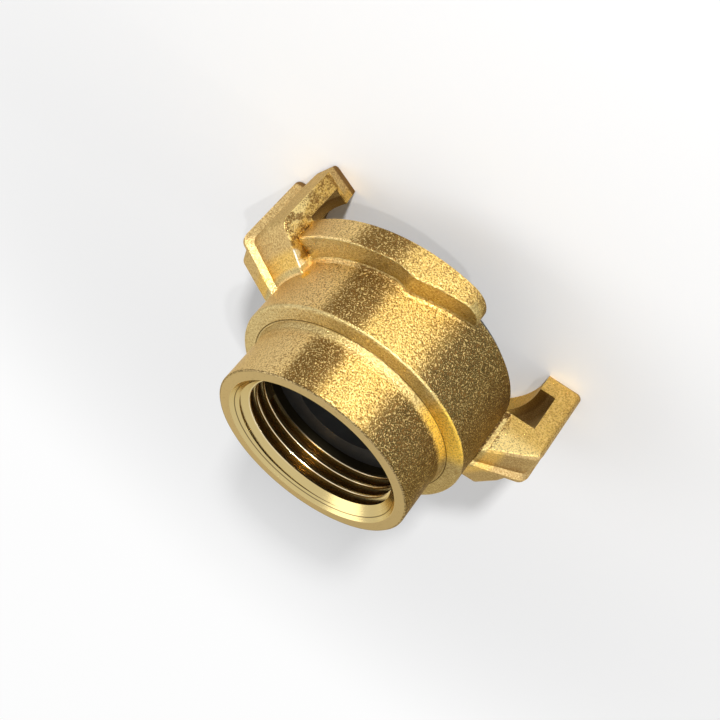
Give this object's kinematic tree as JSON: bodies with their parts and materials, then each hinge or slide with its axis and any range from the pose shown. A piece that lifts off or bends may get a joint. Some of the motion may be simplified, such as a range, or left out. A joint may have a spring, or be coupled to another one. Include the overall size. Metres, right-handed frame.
{
  "type": "claw hose coupling",
  "caption": "Brass claw coupling with an internal pipe thread, hooked claws, ramped cam ears and a rubber lip seal.",
  "frame": {"origin": "on the coupling's axis, in the plane of the flat claw tips that it stands on", "axes": "+Z along the axis, out of the threaded mouth; +X through the middle of one claw, the other claw is on -X"},
  "size_m": [0.0692, 0.0578, 0.042],
  "materials": {
    "cast_brass": "blasted forging with machined mouth and thread",
    "seal_rubber": "satin moulded rubber",
    "gasket_rubber": "matt rubber"
  },
  "bodies": {
    "root": {"body": "cast_brass", "coupling_seal": "seal_rubber", "thread_gasket": "gasket_rubber"}
  },
  "joints": []
}
